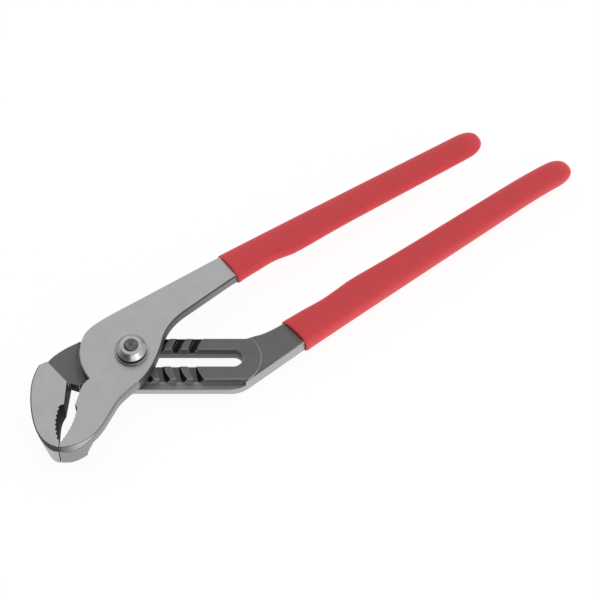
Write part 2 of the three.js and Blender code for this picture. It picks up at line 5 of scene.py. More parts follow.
import bmesh
import bpy
import numpy as np
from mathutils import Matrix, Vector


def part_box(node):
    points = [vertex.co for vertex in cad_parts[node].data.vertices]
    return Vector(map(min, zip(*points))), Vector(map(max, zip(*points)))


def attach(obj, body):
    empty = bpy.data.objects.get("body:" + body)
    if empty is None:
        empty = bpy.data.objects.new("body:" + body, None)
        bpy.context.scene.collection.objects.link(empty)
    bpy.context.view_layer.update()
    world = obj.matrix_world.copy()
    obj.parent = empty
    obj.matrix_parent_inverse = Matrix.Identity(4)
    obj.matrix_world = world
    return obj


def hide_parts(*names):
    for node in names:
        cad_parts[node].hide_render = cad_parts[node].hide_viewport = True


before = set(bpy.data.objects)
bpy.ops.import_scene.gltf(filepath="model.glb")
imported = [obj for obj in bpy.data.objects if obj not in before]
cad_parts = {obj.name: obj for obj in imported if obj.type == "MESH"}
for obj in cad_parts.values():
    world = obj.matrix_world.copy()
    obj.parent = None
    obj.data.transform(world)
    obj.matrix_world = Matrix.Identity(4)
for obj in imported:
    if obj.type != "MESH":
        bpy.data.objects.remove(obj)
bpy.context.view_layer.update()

bl_info = {
    "name": "Water pump pliers",
    "version": (1, 0, 0),
    "blender": (4, 5, 0),
    "location": "3D View > Sidebar > Pliers",
    "description": "Finishes, grips, joint and stage for a pair of groove-joint pliers",
    "category": "Object",
}

MM = 0.001
WELD = 0.004 * MM
FLAT_ANGLE = math.radians(0.4)
SHARP_ANGLE = math.radians(20)
TURNED_ANGLE = math.radians(25)
# Upward shares of a face's normal below which it counts as a side and above which it counts as level
STEEP = 0.45
LEVEL = 0.9
# Level shares of a face's normal that tell the throat, the near side, leaning walls, grooves and the web
THROAT_TURN, NEAR_TURN, LEAN_TURN, GROOVE_TURN, WEB_TURN = 0.1, 0.2, 0.3, 0.4, 0.5
# Width of a belt's scratches as a share of their length
SCRATCH_SHARE = 0.02
# Mottling of turned steel's colour, plain and with hammer dents at full strength; the extra mottling is
# painted light and shade of the dents
TURNED_SPREAD, DENTED_SPREAD = 0.1, 0.7
# Distance between the rings of a wave texture whose scale is one
RING_PERIOD = 2 * math.pi / 20
# Sockets of a mix node that are set to colours
MIX_FACTOR, MIX_LOW, MIX_HIGH, MIX_COLOUR = 0, 6, 7, 2


def linear(code):
    """Linear colour of an sRGB hex code."""
    share = np.array([int(code[i:i + 2], 16) for i in (1, 3, 5)]) / 255
    return tuple(np.where(share <= 0.04045, share / 12.92, ((share + 0.055) / 1.055) ** 2.4).tolist())


def length(name, description, millimetres):
    """A length that a user may change, given in millimetres and kept in metres."""
    return bpy.props.FloatProperty(
        name=name, description=description, default=millimetres * MM, unit="LENGTH", precision=5)


def number(name, description, value):
    """A plain number that a user may change."""
    return bpy.props.FloatProperty(name=name, description=description, default=value)


def angle(name, description, degrees):
    """An angle that a user may change, given in degrees."""
    return bpy.props.FloatProperty(
        name=name, description=description, default=math.radians(degrees), subtype="ANGLE")


def colour(name, description, code):
    """A colour that a user may change, given as an sRGB hex code."""
    return bpy.props.FloatVectorProperty(
        name=name, description=description, default=linear(code), subtype="COLOR", size=3, min=0, max=1)


class GripForm:
    """Sizes that both grips share."""

    clearance: length("Clearance", "Room between the steel and the pocket of the solid grip", 0.3)
    pocket_room: length("Pocket room", "Room between the steel and the sleeve as drawn", 0.05)
    flare_length: length("Flare length", "How far the flared mouth reaches along the grip", 6)
    stop_rise: length("Stop rise", "Length of the finger stop's near slope", 7)
    stop_fall: length("Stop fall", "Length of the finger stop's far slope", 20)
    waist_depth: length("Waist depth", "How far the grip pulls in before the finger stop", 0.6)
    waist_from_mouth: length("Waist place", "Distance of the waist from the mouth", 22)
    waist_length: length("Waist length", "Spread of the waist along the grip", 8)
    droop_length: length("Droop length", "Length of the end that bends aside", 34)
    slant_length: length("Slant length", "How far the slant of the mouth reaches", 25)
    slant: number("Slant", "Lead of one side of the mouth for each unit across", 0.13)
    tip: length("Tip", "Length of the round tip", 11)
    tang_shortfall: length("Tang shortfall", "Distance of the steel's end from the grip's end", 12)
    tang_lead: length("Tang lead", "How far before the mouth the steel gets its grip width", 3)
    squareness: number("Squareness", "Exponent of the oval section; two is an ellipse", 2.5)
    bluntness: number("Bluntness", "Exponent of the tip's outline; two is an ellipse", 2.5)
    pocket_squareness: number("Pocket squareness", "Exponent of the pocket's nearly square section", 14)
    lip: number("Lip", "Reach of the rounded mouth as a share of the wall", 0.45)


class LowerGripSizes(GripForm, bpy.types.PropertyGroup):
    """Sizes of the sleeve on the lower handle."""

    turn: angle("Turn", "Direction of the handle from the slot", 36.18)
    offset: length("Offset", "Distance of the handle's axis from the pivot", -34.73)
    mouth: length("Mouth", "Where the sleeve starts along the handle", 72)
    end: length("End", "Where the sleeve ends along the handle", 244)
    wide: length("Width at the mouth", "Width of the sleeve at its mouth", 18.9)
    narrow: length("Width at the end", "Width of the sleeve at its end", 13.3)
    power: number("Taper power", "Below one the sleeve narrows early, above one late", 0.8)
    wall: length("Wall", "Thickness of the vinyl", 1.7)
    stop: length("Finger stop", "Height of the finger stop", 0.7)
    stop_from_mouth: length("Stop place", "Distance of the finger stop from the mouth", 41)
    droop: length("Droop", "How far the end bends away from the other handle", 1.8)
    flare: length("Flare", "How far the mouth flares on the inside", 0)
    thinning: length("Thinning", "How much thinner the handle is at its end", 2.4)
    rear: length("Rear face", "Height of the steel's flat face", 3.5)
    face: length("Inner face", "Height of the steel's face next to the other handle", 11.8)


class UpperGripSizes(GripForm, bpy.types.PropertyGroup):
    """Sizes of the sleeve on the upper handle."""

    turn: angle("Turn", "Direction of the handle from the slot", 31.25)
    offset: length("Offset", "Distance of the handle's axis from the pivot", 17.4)
    mouth: length("Mouth", "Where the sleeve starts along the handle", 64)
    end: length("End", "Where the sleeve ends along the handle", 212.45)
    wide: length("Width at the mouth", "Width of the sleeve at its mouth", 16.2)
    narrow: length("Width at the end", "Width of the sleeve at its end", 13.3)
    power: number("Taper power", "Below one the sleeve narrows early, above one late", 1.4)
    wall: length("Wall", "Thickness of the vinyl", 1.2)
    stop: length("Finger stop", "Height of the finger stop", 1)
    stop_from_mouth: length("Stop place", "Distance of the finger stop from the mouth", 34)
    droop: length("Droop", "How far the end bends away from the other handle", 0)
    flare: length("Flare", "How far the mouth flares on the inside", 1.2)
    thinning: length("Thinning", "How much thinner the handle is at its end", 1.2)
    rear: length("Rear face", "Height of the steel's flat face", 19.3)
    face: length("Inner face", "Height of the steel's face next to the other handle", 12.8)


class JointSizes(bpy.types.PropertyGroup):
    """Sizes of the bolt, the nut and the washer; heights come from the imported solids."""

    nut_top: length("Nut top", "Diameter of the flat ring on top of the nut", 10.6)
    nut_wall: length("Nut wall", "Height of the nut's round wall", 1.5)
    thread: length("Thread", "Diameter of the bolt's thin end", 6.6)
    thread_dome: length("Thread dome", "Height of the bolt end's dome", 0.5)
    dome_flat: number("Dome flat", "Flat share of the bolt end's dome", 0.82)
    dimple: length("Dimple", "Radius of the centre mark in the bolt's end", 0.9)
    dimple_floor: number("Dimple floor", "Floor of the centre mark as a share of its radius", 0.4)
    dimple_depth: length("Dimple depth", "Depth of the centre mark", 0.45)
    shank: length("Shank", "Diameter of the bolt's shank", 8.7)
    head_height: length("Head height", "Height of the bolt's head", 3.2)
    head_chamfer: length("Head chamfer", "Chamfer of the bolt's head", 0.8)
    head_middle: length("Head middle", "Radius of the flat middle of the bolt's head", 2.5)
    washer_bore: length("Washer bore", "Diameter of the washer's hole", 9.3)
    room: length("Room", "Room between the nut's bore and the bolt's end", 0.12)
    edge: length("Edge", "Rounding of the turned edges", 0.22)


class LeverSizes(bpy.types.PropertyGroup):
    """Places on the levers where one finish gives way to another."""

    belt: angle("Belt", "Direction of the scratches on the upper lever", 31)
    jaw_belt: angle("Jaw belt", "Direction of the scratches on the left jaw", 70)
    edge: length("Edge", "Rounding of the forged edges", 0.14)
    worn_edge: length("Worn edge", "Rounding of the rubbed edges of the bar", 0.34)
    slot_shade: length("Slot shade", "Height at which the slot's dark upper wall ends", 7.8)
    front: length("Front", "Height of the ground front faces", 19.3)
    plateau: length("Plateau", "Height of the bar's raised face", 12.5)
    ledge: length("Ledge", "Height of the ledges beside the raised face", 8.5)
    face: length("Handle face", "Height of the lower handle's face", 11.8)
    jaw_rear: length("Jaw rear", "Height of the jaws' back", 5.2)
    tuck_top: length("Tuck top", "Where the left jaw's side starts to lean in across the slot", -30)
    tuck_fall: length("Tuck fall", "Distance across the slot over which the lean grows", 15)
    tuck_start: length("Tuck start", "Where the lean starts along the slot", -35)
    tuck_spread: length("Tuck spread", "Distance along the slot over which the lean grows", 6)
    tuck_right: length("Tuck right", "How far the side's back leans in along the slot", 1.7)
    tuck_up: length("Tuck up", "How far the side's back leans in across the slot", 1.0)
    foot_top: length("Foot top", "Where the foot of the left jaw's inner wall starts along the slot", -29.5)
    foot_step: length("Foot step", "Where that foot turns towards the teeth along the slot", -31.3)
    foot_turn: length("Foot turn", "Where that foot turns towards the teeth across the slot", -29)
    foot_tip: length("Foot tip", "Where the foot of the teeth ends along the slot", -33.6)
    foot_end: length("Foot end", "Where the foot of the teeth ends across the slot", -43)
    foot_power: number("Foot power", "How early the foot turns in after the step; one is a straight line", 4)
    teeth_start: length("Teeth start", "Where the right jaw's teeth start across the slot", -31)
    teeth_end: length("Teeth end", "Where the right jaw's teeth end across the slot", -48.9)
    teeth_back: length("Teeth back", "Where the right jaw's deepest tooth ends along the slot", -24)
    teeth_share: number("Teeth share", "Drawn depth of the right jaw's teeth as a share of the solid's", 0.5)
    heel_x: length("Heel X", "Place of the corner behind the right jaw along the slot", -19.5)
    heel_y: length("Heel Y", "Place of the corner behind the right jaw across the slot", -48.4)
    heel_room: length("Heel room", "Distance from there within which short edges stay sharp", 1)
    lean: length("Lean", "How much further the grooves' walls are laid back at their foot", 1.0)
    lean_slope: number("Lean slope", "Upward share of the leaning walls' normal", 0.33)
    lean_spread: number("Lean spread", "How far that share may differ", 0.12)
    arm_low: length("Near arm", "Distance of the near arm's raised edge from the slot's middle", 11.7)
    arm_high: length("Far arm", "Distance of the far arm's raised edge from the slot's middle", 10.7)
    slot_half: length("Slot half", "Half the slot's width", 4.65)
    slot_start: length("Slot start", "Where the slot starts", -5.1)
    slot_end: length("Slot end", "Where the slot ends", 53.7)
    margin: length("Margin", "Margin by which a face may miss these places", 0.3)
    jaw_root: length("Jaw root", "Where the raised left jaw starts along the slot", -30.6)
    jaw_back: length("Jaw back", "Where the left jaw's back half starts along the slot", -37.5)
    jaw_top: length("Jaw top", "Where the jaws' inner faces start across the slot", -14)
    web_end: length("Web end", "Where the web under the upper lever ends along the slot", -19)
    # The right jaw's bevel fades from a painted dark reflection here to ground steel at the light nose
    nose_dark: length("Dark nose", "Where the right jaw's bevel is still dark along the slot", -32)
    nose_light: length("Light nose", "Where the right jaw's bevel is ground light along the slot", -23.5)
    throat: length("Throat", "Where the right jaw's inner face lies along the slot", -22)
    # Beyond this place the boss's rim gets painted shade
    boss: length("Boss", "Where the round boss's dark rim starts along the slot", -15)
    shade_foot: length("Shade foot", "Where the upper lever's shaded side ends across the slot", -17)
    side_dark: length("Dark side", "Where the upper lever's side is still dark across the slot", 8)
    side_light: length("Light side", "Where the upper lever's side is trimmed light across the slot", 38)


class FinishColours(bpy.types.PropertyGroup):
    """Colours of the finishes."""

    ground: colour("Ground steel", "Ground faces of both levers", "#b1b0b1")
    spine: colour("Ground side", "Ground sides of the upper lever", "#979697")
    side: colour("Trimmed steel", "Trimmed side of the upper handle", "#8a888a")
    forged: colour("Forged steel", "As-forged faces of the lower lever", "#787676")
    # Partly painted highlight: the edges are worn, and their light tone also stands for highlights
    edge: colour("Rubbed edge, painted highlight", "Edges of the forged faces, rubbed and with painted highlights", "#a09e9e")
    # Painted shade: the upper lever's cheek over the bar, its bevels, the boss's rim and its undersides
    shade: colour("Painted shade on the upper lever", "Dark bevels of the upper lever", "#575555")
    # Painted reflection: the dark nose bevels stand for a dark reflection in them
    nose: colour("Painted dark nose reflection", "Bevel round the jaws' tips", "#656363")
    # Painted light: the near ledge is drawn lighter than the forged faces, against the shade it lies in
    ledge: colour("Painted light on the ledge", "Ledge beside the bar's near arm", "#969494")
    slot: colour("Slot wall", "Upper half of the slot's wall", "#4e4c4c")
    # Painted shade: this near black stands for the deep shade in the throat, the web, the grooves and on the
    # nut's wall
    deep_shade: colour("Painted deep shade", "Shade painted on the throat's, the web's, the grooves' and the nut's walls", "#2e2c2b")
    satin: colour("Satin steel", "Turned nut", "#b0afb0")
    dark: colour("Oiled steel", "Bolt", "#706e6e")
    vinyl: colour("Vinyl", "Dipped grips", "#dc383f")
    floor: colour("Floor", "Light table under the pliers", "#f4f4f4")


class StageSizes(bpy.types.PropertyGroup):
    """Camera, floor and lights."""

    elevation: angle("Elevation", "Height of the camera above the floor as an angle", 60)
    field: angle("Field of view", "Field of view of the square picture", 14.02)
    distance: length("Distance", "Distance of the camera from its target", 1212)
    target_x: length("Target X", "Place that the camera looks at", 81.42)
    target_y: length("Target Y", "Place that the camera looks at", 37.59)
    target_z: length("Target Z", "Place that the camera looks at", 3.5)
    floor_side: length("Floor side", "Side of the square floor", 8000)
    floor_drop: length("Floor drop", "Distance of the floor below the bolt head", 0.2)
    floor_share: number("Floor share", "Share of the light from above that the floor gives back", 0.14)
    floor_cloud: number("Floor cloud", "Darkest places of the floor as a share of the lightest", 0.97)
    glow: number("Floor glow", "Light that the floor gives of itself, as a light table does", 0.92)
    sky: number("Sky", "Strength of the light from most sides", 1.0)
    dim_sky: number("Dim sky", "Strength of the light from the dim side of the room", 0.12)
    dim_turn: angle("Dim side", "Direction of the room's dim side", -126)
    dim_rise: angle("Dim rise", "Height of the dim side's middle", 15)
    dim_from: number("Dim from", "Cosine from the dim side's middle at which the light starts to fall", 0.2)
    dim_to: number("Dim to", "Cosine from the dim side's middle at which it has fallen", 0.6)
    strip_turn: angle("Strip turn", "Direction of the low strip light", -63)
    strip_rise: angle("Strip rise", "Height of the low strip light as an angle", 8)
    strip_distance: length("Strip distance", "Distance of the low strip light", 900)
    strip_long: length("Strip length", "Length of the low strip light", 1000)
    strip_high: length("Strip height", "Height of the low strip light", 180)
    strip_watts: number("Strip power", "Power of the low strip light in watts", 2.1)


def settings(name):
    """The property group of that name on the scene."""
    return getattr(bpy.context.scene, "pliers_" + name)


def fill(node, inputs):
    """Give a node's inputs plain values, or links from other nodes' outputs."""
    for key, value in inputs.items():
        if isinstance(value, bpy.types.NodeSocket):
            node.id_data.links.new(value, node.inputs[key])
        else:
            node.inputs[key].default_value = value


def add(tree, kind, inputs=None, **values):
    """Add a node of a kind to a tree, with its own settings and with its inputs filled."""
    node = tree.nodes.new("ShaderNode" + kind)
    for key, value in values.items():
        setattr(node, key, value)
    fill(node, inputs or {})
    return node


def finish(name, **inputs):
    """A new material with one principled shader; returns the material, its tree and that shader."""
    material = bpy.data.materials.new(name)
    material.use_nodes = True
    shader = material.node_tree.nodes["Principled BSDF"]
    fill(shader, {key.replace("_", " "): value for key, value in inputs.items()})
    return material, material.node_tree, shader


def per_metre(millimetres):
    """Texture scale at which one feature of a noise is that many millimetres wide."""
    return 1 / (millimetres * MM)


def tinted(base, factor):
    """The base colour made lighter or darker, as a colour with alpha."""
    return (*[min(1.0, channel * factor) for channel in base], 1.0)


def faded(tree, place, tone, fade):
    """A tone that comes out of another colour between two places along one axis."""
    if not fade:
        return tone
    other, axis, start, end = fade
    along = add(tree, "SeparateXYZ", {"Vector": place}).outputs[axis]
    share = add(tree, "MapRange", {"Value": along, "From Min": start, "From Max": end}).outputs["Result"]
    return add(tree, "Mix", {MIX_FACTOR: share, MIX_LOW: tinted(other, 1), MIX_HIGH: tone},
               data_type="RGBA").outputs[MIX_COLOUR]


def mottled(tree, base, first, second, low, high, share=0.5):
    """The base colour from a darker to a lighter tint, by the weighted mean of two patterns."""
    part = add(tree, "Math", {0: first, 1: share}, operation="MULTIPLY").outputs[0]
    mean = add(tree, "Math", {0: second, 1: 1 - share, 2: part}, operation="MULTIPLY_ADD").outputs[0]
    return add(tree, "Mix", {MIX_FACTOR: mean, MIX_LOW: tinted(base, low), MIX_HIGH: tinted(base, high)},
               data_type="RGBA").outputs[MIX_COLOUR]


def surfaced(shader, tone, worn, smooth, rough, relief, strength, depth_mm, under=None):
    """Give a shader its tone, a roughness that follows one pattern, and a bump that follows another.

    The bump may lie on top of a coarser one.
    """
    tree = shader.id_data
    gloss = add(tree, "MapRange", {"Value": worn, "To Min": smooth, "To Max": rough}).outputs["Result"]
    bump = add(tree, "Bump", {"Height": relief, "Strength": strength, "Distance": depth_mm * MM})
    if under:
        fill(bump, {"Normal": under})
    fill(shader, {"Base Color": tone, "Roughness": gloss, "Normal": bump.outputs["Normal"]})


def ground_steel(name, base, turn, fade=None):
    """Ground tool steel: a belt leaves fine straight scratches, so it looks even, satin and a little streaky.

    The scratches are really 0.05 mm wide; they are drawn 0.5 mm wide so that they show. A fade brings in
    another colour along one axis; on the nose bevel that colour is a painted dark reflection.
    """
    material, tree, shader = finish(name, Metallic=1.0)
    place = add(tree, "TexCoord").outputs["Object"]
    turned_place = add(tree, "Mapping", {"Vector": place, "Rotation": (0, 0, -turn)}).outputs["Vector"]
    along = add(tree, "Mapping", {"Vector": turned_place, "Scale": (SCRATCH_SHARE, 1, 1)}).outputs["Vector"]
    scratch = add(tree, "TexNoise", {
        "Vector": along, "Scale": per_metre(0.5), "Detail": 3.0, "Roughness": 0.6}).outputs["Fac"]
    cloud = add(tree, "TexNoise", {
        "Vector": place, "Scale": per_metre(9), "Detail": 4.0, "Roughness": 0.65}).outputs["Fac"]
    tone = faded(tree, place, mottled(tree, base, scratch, cloud, low=0.81, high=1.2), fade)
    surfaced(shader, tone, worn=scratch, smooth=0.36, rough=0.48,
             relief=scratch, strength=0.05, depth_mm=0.05)
    return material


def forged_steel(name, base, roughness=0.62, fade=None):
    """As-forged tool steel: scale from the heat leaves a dark, dull, finely grained and mottled skin.

    The grain is really about 0.2 mm wide; it is drawn 0.7 mm wide so that it shows.
    """
    material, tree, shader = finish(name, Metallic=0.85)
    place = add(tree, "TexCoord").outputs["Object"]
    grain = add(tree, "TexNoise", {
        "Vector": place, "Scale": per_metre(0.7), "Detail": 4.0, "Roughness": 0.7}).outputs["Fac"]
    mottle = add(tree, "TexNoise", {
        "Vector": place, "Scale": per_metre(6), "Detail": 3.0, "Roughness": 0.6}).outputs["Fac"]
    tone = faded(tree, place, mottled(tree, base, grain, mottle, low=0.5, high=1.5), fade)
    surfaced(shader, tone, worn=mottle, smooth=roughness - 0.1, rough=roughness + 0.1,
             relief=grain, strength=0.25, depth_mm=0.12)
    return material


def turned_steel(name, base, roughness, groove_mm, dents=0.0):
    """Turned steel: the cutter leaves fine rings about the axis, which give a silky gloss.

    The rings are really about 0.1 mm apart; they are drawn wider so that they show. A riveted end also has
    hammer dents about 1.5 mm wide, which catch the light unevenly; the stronger mottling of its colour is
    painted light and shade from those dents.
    """
    material, tree, shader = finish(name, Metallic=1.0)
    place = add(tree, "TexCoord").outputs["Object"]
    rings = add(tree, "TexWave", {
        "Vector": place, "Scale": RING_PERIOD * per_metre(groove_mm), "Distortion": 0.3},
        wave_type="RINGS", rings_direction="Z").outputs["Fac"]
    cloud = add(tree, "TexNoise", {"Vector": place, "Scale": per_metre(2.5), "Detail": 4.0}).outputs["Fac"]
    spread = TURNED_SPREAD + (DENTED_SPREAD - TURNED_SPREAD) * dents
    patch = add(tree, "MapRange", {"Value": cloud, "From Min": 0.35, "From Max": 0.65}).outputs["Result"]
    tone = add(tree, "Mix", {
        MIX_FACTOR: patch, MIX_LOW: tinted(base, 1 - spread), MIX_HIGH: tinted(base, 1 + spread)},
        data_type="RGBA").outputs[MIX_COLOUR]
    dent = add(tree, "TexNoise", {"Vector": place, "Scale": per_metre(1.5), "Detail": 1.0}).outputs["Fac"]
    bump = add(tree, "Bump", {"Height": dent, "Strength": dents, "Distance": 0.8 * MM}).outputs["Normal"]
    surfaced(shader, tone, worn=rings, smooth=roughness - 0.04, rough=roughness + 0.06,
             relief=rings, strength=0.08, depth_mm=0.05, under=bump)
    return material


def dipped_vinyl(name, base):
    """Dipped PVC: the liquid vinyl sets with a soft satin skin, faintly uneven, with broad dim highlights.

    Its grain is really about 0.3 mm wide; it is drawn 0.9 mm wide so that it shows.
    """
    material, tree, shader = finish(name, Metallic=0.0, IOR=1.53)
    place = add(tree, "TexCoord").outputs["Object"]
    cloud = add(tree, "TexNoise", {
        "Vector": place, "Scale": per_metre(14), "Detail": 3.0, "Roughness": 0.5}).outputs["Fac"]
    skin_grain = add(tree, "TexNoise", {
        "Vector": place, "Scale": per_metre(0.9), "Detail": 3.0, "Roughness": 0.7}).outputs["Fac"]
    tone = mottled(tree, base, skin_grain, cloud, low=0.7, high=1.3, share=0.75)
    surfaced(shader, tone, worn=cloud, smooth=0.44, rough=0.56,
             relief=skin_grain, strength=0.12, depth_mm=0.08)
    return material


def placed(name, mesh, *materials):
    """A new object at the origin with that mesh and those finishes."""
    piece = bpy.data.objects.new(name, mesh)
    bpy.context.scene.collection.objects.link(piece)
    for material in materials:
        mesh.materials.append(material)
    return piece


def dress(piece, node, body):
    """Let a piece stand for a solid: hide the solid and ride on its body."""
    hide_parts(node)
    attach(piece, body)


def skin(name, rings, loop=False):
    """Mesh over an array of rings (rows, columns, 3): quads between rings that run in a loop or end in poles.

    Corner i of row k is joined with corner i + 1 and with row k + 1; a pole is the mean of the next ring.
    """
    rows, columns = rings.shape[:2]
    index = np.arange(rows * columns).reshape(rows, columns)
    if loop:
        index = np.vstack([index, index[:1]])
    side = np.roll(index, -1, axis=1)
    quads = np.stack([index[:-1], side[:-1], side[1:], index[1:]], axis=-1).reshape(-1, 4)
    points = rings.reshape(-1, 3)
    faces = quads.tolist()
    if not loop:
        poles = np.array([rings[0].mean(axis=0), rings[-1].mean(axis=0)])
        first = len(points)
        points = np.vstack([points, poles])
        start = np.stack([np.full(columns, first), side[0], index[0]], axis=-1)
        finale = np.stack([np.full(columns, first + 1), index[-1], side[-1]], axis=-1)
        faces += start.tolist() + finale.tolist()
    mesh = bpy.data.meshes.new(name)
    mesh.from_pydata(points.tolist(), [], faces)
    mesh.validate()
    tidy = bmesh.new()
    tidy.from_mesh(mesh)
    bmesh.ops.recalc_face_normals(tidy, faces=tidy.faces)
    tidy.to_mesh(mesh)
    tidy.free()
    mesh.shade_smooth()
    return mesh


def turned(name, profile, loop, sides=96):
    """Surface of revolution about the pivot: each (radius, height) of the profile becomes a ring."""
    profile = np.array(profile)
    turn = np.linspace(0, 2 * np.pi, sides, endpoint=False)
    rings = np.empty((len(profile), sides, 3))
    rings[:, :, 0] = profile[:, :1] * np.cos(turn)
    rings[:, :, 1] = profile[:, :1] * np.sin(turn)
    rings[:, :, 2] = profile[:, 1:]
    return skin(name, rings, loop)


def turned_piece(name, profile, finishes, node, loop=True):
    """A turned piece of the joint in place of its solid, with rounded edges; returns its mesh.

    The large faces lead the shading, so they look flat up to the rounded edges.
    """
    piece = placed(name, turned(name, profile, loop), *finishes)
    bevel = piece.modifiers.new("rounded edges", "BEVEL")
    bevel.width = settings("joint").edge
    bevel.segments = 3
    bevel.limit_method = "ANGLE"
    bevel.angle_limit = TURNED_ANGLE
    bevel.use_clamp_overlap = False
    normals = piece.modifiers.new("flat faces", "WEIGHTED_NORMAL")
    normals.keep_sharp = True
    dress(piece, node, "carriage")
    return piece.data


def ramp(value, start, end):
    """Share of the way from a start to an end, held between zero and one."""
    return np.clip((value - start) / (end - start), 0, 1)


def between(value, low, high):
    """Which values lie between two limits."""
    return (value > low) & (value < high)


def grip_rings(form, inside, facing, columns=72, rows=110, pocket_rows=24, lip_rows=7, tip_rows=18):
    """Rings of a dipped sleeve: pocket, rounded lip, outside and tip.

    Along the handle at s from the pivot, half the width runs from wide to narrow with
    (s - mouth) / (end - mouth) to a power. The inside adds a flare that dies away from the mouth, adds a
    finger stop and takes off a waist; these two are bell curves. The section is an oval
    |x / half|^n + |z / height|^n = 1, and its height shrinks evenly towards the end. The tip closes along
    another such oval. The mouth is cut aslant: s leads in proportion to the place across, less and less over
    the slant's length. The end bends aside with the square of the distance, and the whole is turned about the
    pivot. The pocket has the same form with straight edges and a nearly square section.
    """
    def share(s):
        """Share of the way from the mouth to the end."""
        return ramp(s, form.mouth, form.end)

    def half(s, side):
        """Half the width on one side of the handle's axis."""
        width = (form.wide + (form.narrow - form.wide) * share(s) ** form.power) / 2
        if side != inside:
            return width
        m = np.maximum(0, s - form.mouth)
        past = m - form.stop_from_mouth
        spread = np.where(past < 0, form.stop_rise, form.stop_fall)
        flare = form.flare * np.exp(-m / form.flare_length)
        stop = form.stop * np.exp(-(past / spread) ** 2)
        waist = form.waist_depth * np.exp(-((m - form.waist_from_mouth) / form.waist_length) ** 2)
        return width + flare + stop - waist

    def droop(s):
        """How far the end bends aside."""
        return form.droop * np.maximum(0, (s - form.end + form.droop_length) / form.droop_length) ** 2

    def section(s, low, high, floor, roof, power, swell=1.0):
        """Oval between two sides and two heights at each s, as columns of (across, height)."""
        turn = np.linspace(0, 2 * np.pi, columns, endpoint=False)
        across = np.sign(np.cos(turn)) * np.abs(np.cos(turn)) ** (2 / power)
        up = np.sign(np.sin(turn)) * np.abs(np.sin(turn)) ** (2 / power)
        swell = np.broadcast_to(swell, s.shape)[:, None]
        reach = np.where(across >= 0, high[:, None], -low[:, None]) * swell
        middle = ((floor + roof) / 2)[:, None]
        rise = (np.abs(roof - floor) / 2)[:, None] * swell
        return across * reach, middle + up * rise

    def steel(s):
        """Height of the steel's face next to the other handle."""
        return form.face - facing * form.thinning * share(s)

    cover = facing * (form.clearance + form.wall)
    room = facing * form.pocket_room
    lip = form.lip * form.wall
    tang_end = form.end - form.tang_shortfall

    # Pocket, from its end to the mouth
    stations = np.array([form.mouth - form.tang_lead, form.mouth + form.waist_from_mouth, tang_end])
    s_in = np.linspace(tang_end + form.pocket_room, form.mouth + lip, pocket_rows)
    edges = {}
    for side in (1, -1):
        steel_half = half(stations, side) - form.wall - form.clearance
        edges[side] = np.interp(s_in, stations, side * steel_half - droop(stations)) + droop(s_in)
    pocket = section(s_in, edges[-1] - form.pocket_room, edges[1] + form.pocket_room,
                     np.full_like(s_in, form.rear) - room, steel(s_in) + room, form.pocket_squareness)

    # Outside with the round tip
    s_straight = np.linspace(form.mouth + lip, form.end - form.tip, rows)
    lean = np.linspace(0, np.pi / 2, tip_rows + 2)[1:-1]
    s_tip = form.end - form.tip + form.tip * np.sin(lean) ** (2 / form.bluntness)
    s_out = np.concatenate([s_straight, s_tip])
    swell = np.concatenate([np.ones(rows), np.cos(lean) ** (2 / form.bluntness)])
    outside = section(s_out, -half(s_out, -1), half(s_out, 1),
                      np.full_like(s_out, form.rear) - cover, steel(s_out) + cover, form.squareness, swell)

    # Lip between the two, a half round that leads the mouth
    t = np.linspace(0, np.pi, lip_rows + 2)[1:-1]
    blend = ((1 - np.cos(t)) / 2)[:, None]
    lips = [inner[-1] * (1 - blend) + outer[0] * blend for inner, outer in zip(pocket, outside)]
    s_lip = form.mouth + lip - lip * np.sin(t)

    s = np.concatenate([s_in, s_lip, s_out])[:, None]
    across = np.vstack([pocket[0], lips[0], outside[0]])
    height = np.vstack([pocket[1], lips[1], outside[1]])
    slanted = s - form.slant * np.maximum(0, 1 - (s - form.mouth) / form.slant_length) * across
    bent = form.offset + across - droop(slanted)
    x = slanted * math.cos(form.turn) - bent * math.sin(form.turn)
    y = slanted * math.sin(form.turn) + bent * math.cos(form.turn)
    return np.stack([x, y, height], axis=-1)


def face_table(mesh):
    """Normals and middles of a mesh's faces as two arrays."""
    normal = np.empty(len(mesh.polygons) * 3)
    middle = np.empty_like(normal)
    mesh.polygons.foreach_get("normal", normal)
    mesh.polygons.foreach_get("center", middle)
    return normal.reshape(-1, 3), middle.reshape(-1, 3)


def numbers(items, name, kind=np.int32):
    """One number of each item of a mesh's list, as an array."""
    values = np.empty(len(items), kind)
    items.foreach_get(name, values)
    return values


def points_of(mesh):
    """Corners of a mesh as an array."""
    values = np.empty(len(mesh.vertices) * 3)
    mesh.vertices.foreach_get("co", values)
    return values.reshape(-1, 3)


def edge_table(mesh):
    """Two faces at each edge of a closed mesh, the bend between them and the edge's two corners.

    The corners of faces are sorted by their edge, so each edge finds its two faces side by side.
    """
    face_of_corner = np.repeat(np.arange(len(mesh.polygons)), numbers(mesh.polygons, "loop_total"))
    pair = face_of_corner[np.argsort(numbers(mesh.loops, "edge_index"), kind="stable")].reshape(-1, 2)
    normal, _ = face_table(mesh)
    bend = np.arccos(np.clip((normal[pair[:, 0]] * normal[pair[:, 1]]).sum(axis=1), -1, 1))
    ends = np.empty(len(mesh.edges) * 2, np.int32)
    mesh.edges.foreach_get("vertices", ends)
    return pair, bend, ends.reshape(-1, 2)


def corner_sums(mesh, faces):
    """Sum of area times normal over the chosen faces that meet at each corner of a mesh."""
    normal, _ = face_table(mesh)
    push = normal * (numbers(mesh.polygons, "area", np.float64) * faces)[:, None]
    push = np.repeat(push, numbers(mesh.polygons, "loop_total"), axis=0)
    sums = np.zeros((len(mesh.vertices), 3))
    np.add.at(sums, numbers(mesh.loops, "vertex_index"), push)
    return sums


def strips(mesh, last):
    """Which faces of a forging are rounded strips."""
    return numbers(mesh.polygons, "material_index") == last


